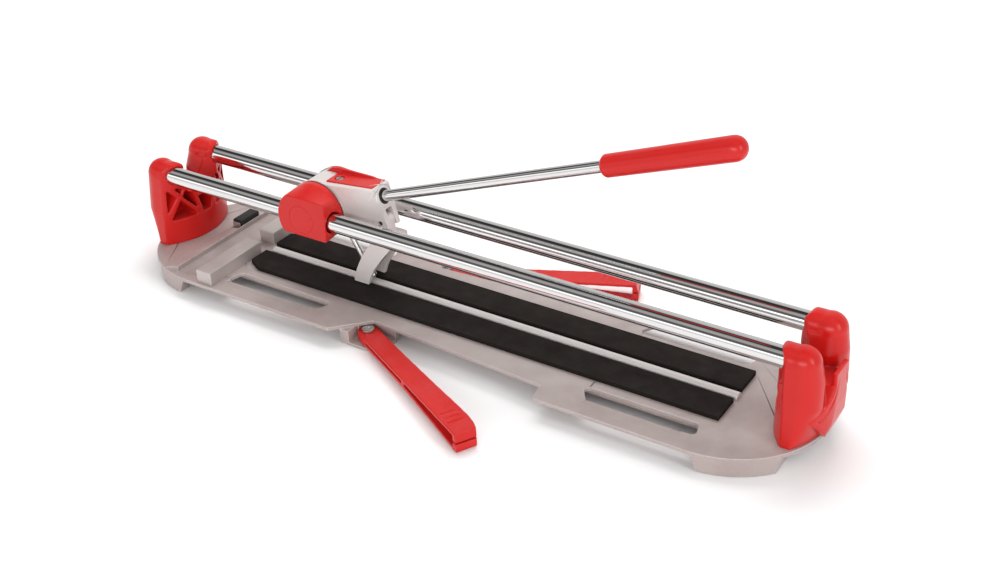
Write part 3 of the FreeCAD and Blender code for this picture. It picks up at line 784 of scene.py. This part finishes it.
@dataclass
class GuideBars:
    """The two chromed round bars."""

    radius: float = 10.0
    half: float = 372.0
    lead: float = 0.8

    def build(self) -> None:
        """Turns both bars with a small lead at each end."""
        for side in ("front", "rear"):
            low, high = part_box(f"guide_bar_{side}")
            middle = (low + high) / 2 / MM
            stations = [
                (-self.half, self.radius - self.lead),
                (self.lead - self.half, self.radius),
                (self.half - self.lead, self.radius),
                (self.half, self.radius - self.lead),
            ]
            bar = Bench.turned(f"chromed_bar_{side}", stations, middle, Vector((1, 0, 0)), 128)
            Bench.shade(bar, 30)
            Bench.deliver(bar, Body.BASE, Finishes.chrome, f"guide_bar_{side}")


@dataclass
class Carriage:
    """The slider on the bars: blocks, bushes, covers, washers and pivot."""

    skin: float = 0.7
    melt: int = 10
    badge_radius: float = 15.4
    badge_line: float = 0.55

    def cover(self, side: str) -> None:
        """Moulds one slider cover and cuts the ring line round its blank badge.

        Args:
            side: front or rear.
        """
        cover = Bench.copy_node(f"slider_cover_{side}", f"slider_cover_moulding_{side}", 0.0)
        Bench.mould(cover, self.skin, self.melt)
        low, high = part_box(f"slider_cover_{side}")
        face = (low.y if side == "front" else high.y) / MM
        pivot_low, pivot_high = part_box("pivot_tube")
        middle = (pivot_low + pivot_high) / 2 / MM
        bpy.ops.object.select_all(action="DESELECT")
        bpy.ops.mesh.primitive_torus_add(
            major_radius=self.badge_radius * MM, minor_radius=self.badge_line * MM,
            major_segments=128, minor_segments=12,
            location=(middle.x * MM - 0.001, face * MM, middle.z * MM + 0.001), rotation=(math.pi / 2, 0, 0),
        )
        ring = Bench.settle(bpy.context.active_object)
        Bench.carve(cover, ring)
        Bench.shade(cover, 50)
        Bench.deliver(cover, Body.CARRIAGE, Finishes.red, f"slider_cover_{side}")

    def build(self) -> None:
        """Builds the covers, then dresses the metal inside them."""
        for side in ("front", "rear"):
            self.cover(side)
            block = Bench.copy_node(f"slider_block_{side}", f"slider_body_{side}")
            Bench.round_edges(block, 0.4)
            Bench.deliver(block, Body.CARRIAGE, Finishes.machined, f"slider_block_{side}")
        for node, name, width, finish in (
            ("bushes", "sliding_bushes", 0.25, Finishes.bronze),
            ("thrust_washers", "thrust_washer_pair", 0.12, Finishes.fittings),
            ("pivot_tube", "lever_pivot_tube", 0.3, Finishes.fittings),
        ):
            piece = Bench.copy_node(node, name, 0.1)
            Bench.round_edges(piece, width)
            Bench.deliver(piece, Body.CARRIAGE, finish, node)


@dataclass
class Lever:
    """The cast lever with its red insert, handle rod and grip."""

    angle: float = 20.5
    rod_start: float = 44.5
    rod_end: float = 470.0
    grip: tuple[tuple[float, float], ...] = (
        (349.0, 8.6), (349.3, 9.2), (351.6, 10.9), (352.6, 11.1), (354.0, 11.0), (400.0, 11.3),
        (440.0, 11.6), (482.0, 11.8), (485.0, 11.45), (488.0, 10.3), (490.3, 8.6), (492.2, 6.2),
        (493.3, 3.8), (493.75, 1.6),
    )

    def axis(self) -> tuple[Vector, Vector]:
        """Returns the lever pivot's centre in millimetres and the handle's direction."""
        low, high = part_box("pivot_tube")
        turn = math.radians(self.angle)
        return (low + high) / 2 / MM, Vector((math.cos(turn), 0, math.sin(turn)))

    def casting(self) -> None:
        """Dresses the lever casting."""
        body = Bench.copy_node("lever_body", "lever_casting", 0.3)
        Bench.round_edges(body, 0.5, 2, 32.0)
        Bench.deliver(body, Body.LEVER, Finishes.lever, "lever_body")

    def insert(self) -> None:
        """Moulds the insert on top of the lever and its screw."""
        insert = Bench.copy_node("top_insert", "lever_top_insert", 0.0)
        Bench.mould(insert, 0.45, 3)
        Bench.deliver(insert, Body.LEVER, Finishes.red, "top_insert")
        screw = Bench.copy_node("insert_screw", "insert_cap_screw", 0.1)
        Bench.round_edges(screw, 0.25)
        Bench.deliver(screw, Body.LEVER, Finishes.screws, "insert_screw")

    def handle(self) -> None:
        """Turns the rod, its socket ring and the grip."""
        pivot, along = self.axis()
        stations = [
            (self.rod_start, 5.4), (self.rod_start + 0.6, 6.0), (self.rod_end - 1, 6.0), (self.rod_end, 5.0),
        ]
        rod = Bench.turned("handle_rod_bar", stations, pivot, along, 96)
        Bench.shade(rod, 30)
        Bench.deliver(rod, Body.LEVER, Finishes.chrome, "handle_rod")
        grip = Bench.turned("handle_grip_sleeve", list(self.grip), pivot, along, 96)
        Bench.shade(grip, 40)
        Bench.deliver(grip, Body.LEVER, Finishes.red, "handle_grip")
        ring = Bench.copy_node("socket_ring", "rod_socket_ring", 0.1)
        Bench.round_edges(ring, 0.3)
        Bench.deliver(ring, Body.LEVER, Finishes.black, "socket_ring")

    def build(self) -> None:
        """Builds the casting, insert, rod and grip."""
        self.casting()
        self.insert()
        self.handle()


@dataclass
class Breaker:
    """The breaker foot under the lever, and the scoring wheel in its holder."""

    def build(self) -> None:
        """Dresses each part of the breaker and the wheel."""
        for node, name, width, body, finish in (
            ("breaker_foot", "breaker_foot_casting", 0.5, Body.BREAKER, Finishes.lever),
            ("foot_pin", "breaker_foot_pin", 0.3, Body.LEVER, Finishes.dark_pin),
            ("wheel_holder", "wheel_holder_stem", 0.25, Body.LEVER, Finishes.fittings),
            ("wheel_axle", "wheel_axle_pin", 0.2, Body.LEVER, Finishes.fittings),
            ("holder_nut", "wheel_holder_nut", 0.35, Body.LEVER, Finishes.screws),
            ("scoring_wheel", "scoring_disc", 0.04, Body.WHEEL, Finishes.wheel),
        ):
            piece = Bench.copy_node(node, name, 0.1)
            Bench.round_edges(piece, width)
            Bench.deliver(piece, body, finish, node)


@dataclass
class SupportArms:
    """The two swinging arms that carry a wide tile, and their screws."""

    skin: float = 0.6
    melt: int = 3

    def build(self) -> None:
        """Moulds both arms and dresses their screws."""
        for node, name, body in (
            ("arm_front", "tile_arm_front", Body.ARM_NEAR),
            ("arm_rear", "tile_arm_rear", Body.ARM_FAR),
        ):
            arm = Bench.copy_node(node, name, 0.0)
            Bench.mould(arm, self.skin, self.melt)
            Bench.deliver(arm, body, Finishes.red, node)
        screws = Bench.copy_node("arm_screws", "arm_cap_screws", 0.1)
        Bench.round_edges(screws, 0.35)
        Bench.deliver(screws, Body.BASE, Finishes.screws, "arm_screws")


@dataclass
class Studio:
    """A pale floor, soft lights and the camera."""

    floor_size: float = 14.0
    camera_place: tuple[float, float, float] = (0.7001, -1.0206, 0.7882)  # from the bars' middle plane
    heading: float = 32.706
    tilt_down: float = 30.678
    roll: float = -1.383
    lens: float = 50.805

    def floor(self) -> None:
        """Lays a wide plain floor."""
        bpy.ops.object.select_all(action="DESELECT")
        bpy.ops.mesh.primitive_plane_add(size=self.floor_size, location=(0, 0, -0.0004))
        floor = Bench.settle(bpy.context.active_object)
        floor.name = "studio_floor"
        paint = bpy.data.materials.new("Pale floor")
        paint.use_nodes = True
        shader = paint.node_tree.nodes["Principled BSDF"]
        shader.inputs["Base Color"].default_value = (0.93, 0.93, 0.93, 1)
        shader.inputs["Roughness"].default_value = 0.9
        shader.inputs["Specular IOR Level"].default_value = 0.1
        floor.data.materials.append(paint)

    def lamp(
        self, name: str, place: Vector, target: Vector, size: tuple[float, float], power: float
    ) -> bpy.types.Object:
        """Hangs one soft rectangular lamp.

        Args:
            name: The lamp's name.
            place: Where it hangs, in metres.
            target: What it points at, in metres.
            size: Its two sides in metres.
            power: Its power in watts.

        Returns:
            The lamp.
        """
        bpy.ops.object.select_all(action="DESELECT")
        bpy.ops.object.light_add(type="AREA", location=place)
        lamp = bpy.context.active_object
        lamp.name = name
        lamp.data.shape = "RECTANGLE"
        lamp.data.size, lamp.data.size_y = size
        lamp.data.energy = power
        lamp.rotation_euler = (target - place).to_track_quat("-Z", "Y").to_euler()
        return lamp

    def surroundings(self) -> None:
        """Gives a white surround, with darker walls that only the glossy surfaces see."""
        world = bpy.data.worlds.new("Studio surround")
        bpy.context.scene.world = world
        world.use_nodes = True
        world.node_tree.nodes.clear()
        graph = Graph(world.node_tree)
        place = graph.add("ShaderNodeTexCoord")
        apart = graph.add("ShaderNodeSeparateXYZ")
        graph.join(place.outputs["Generated"], apart.inputs[0])
        turn = graph.math("ARCTAN2", apart.outputs["Z"], graph.math("MULTIPLY", apart.outputs["Y"], -1.0))
        ramp = graph.add("ShaderNodeValToRGB")
        # half a turn round the bars, from the front horizon over the top to the rear: how bright each part is
        stops = (
            (0.0, 0.8), (0.055, 0.95), (0.075, 1.6), (0.135, 1.6), (0.16, 0.14), (0.26, 0.12), (0.32, 0.5),
            (0.43, 0.42), (0.48, 0.05), (0.65, 0.035), (0.69, 0.62), (0.9, 0.75), (1.0, 0.8),
        )
        for position, value in stops[1:-1]:
            ramp.color_ramp.elements.new(position).color = (value, value * 0.985, value * 0.975, 1)
        ramp.color_ramp.elements[0].color = (stops[0][1],) * 3 + (1,)
        ramp.color_ramp.elements[-1].color = (stops[-1][1],) * 3 + (1,)
        graph.join(graph.math("DIVIDE", turn, math.pi), ramp.inputs["Fac"])
        path = graph.add("ShaderNodeLightPath")
        plain = graph.blend(path.outputs["Is Camera Ray"], (0.62, 0.62, 0.62), (1.0, 1.0, 1.0))
        tone = graph.blend(path.outputs["Is Glossy Ray"], plain, ramp.outputs["Color"])
        shine = graph.add("ShaderNodeBackground", Strength=1.0)
        out = graph.add("ShaderNodeOutputWorld")
        graph.join(tone, shine.inputs["Color"])
        graph.join(shine.outputs[0], out.inputs["Surface"])

    def camera(self) -> None:
        """Sets the camera at the product view."""
        aimed = Matrix.Rotation(math.radians(self.heading), 4, "Z")
        tipped = Matrix.Rotation(math.radians(90 - self.tilt_down), 4, "X")
        rolled = Matrix.Rotation(math.radians(self.roll), 4, "Z")
        place = Vector(self.camera_place) + Vector((0, MIDDLE_Y * MM, 0))
        bpy.ops.object.select_all(action="DESELECT")
        bpy.ops.object.camera_add()
        camera = bpy.context.active_object
        camera.name = "product_camera"
        camera.matrix_world = Matrix.Translation(place) @ aimed @ tipped @ rolled
        camera.data.sensor_width = 36.0
        camera.data.sensor_fit = "HORIZONTAL"
        camera.data.lens = self.lens
        camera.data.clip_start = 0.02
        camera.data.clip_end = 40.0
        bpy.context.scene.camera = camera

    def build(self) -> None:
        """Sets up the floor, the surround, the lamps and the camera."""
        self.camera()
        self.floor()
        self.surroundings()
        aim = Vector((0, 0, 0.05))
        overhead = self.lamp("overhead_softbox", Vector((-0.5, 1.0, 1.9)), aim, (2.0, 1.0), 34.0)
        overhead.visible_glossy = False
        self.lamp("front_softbox", Vector((0.7, -2.6, 1.1)), aim, (2.4, 0.6), 30.0)
        self.lamp("right_strip", Vector((2.2, -0.4, 1.1)), aim, (0.5, 1.2), 12.0)
        view = bpy.context.scene.view_settings
        view.view_transform = "Standard"
        view.look = "None"
        view.exposure = 0.0


def main() -> None:
    """Builds the cutter, sub-assembly by sub-assembly, and its studio."""
    logging.basicConfig(level=logging.INFO, format="%(name)s %(message)s")
    Studio().build()
    fixed = (BasePlate(), TileBed(), EndSupports(), GuideBars())
    moving = (Carriage(), Lever(), Breaker(), SupportArms())
    for assembly in fixed + moving:
        assembly.build()
        log.info("%s built", type(assembly).__name__)


if __name__ == "__main__":
    main()
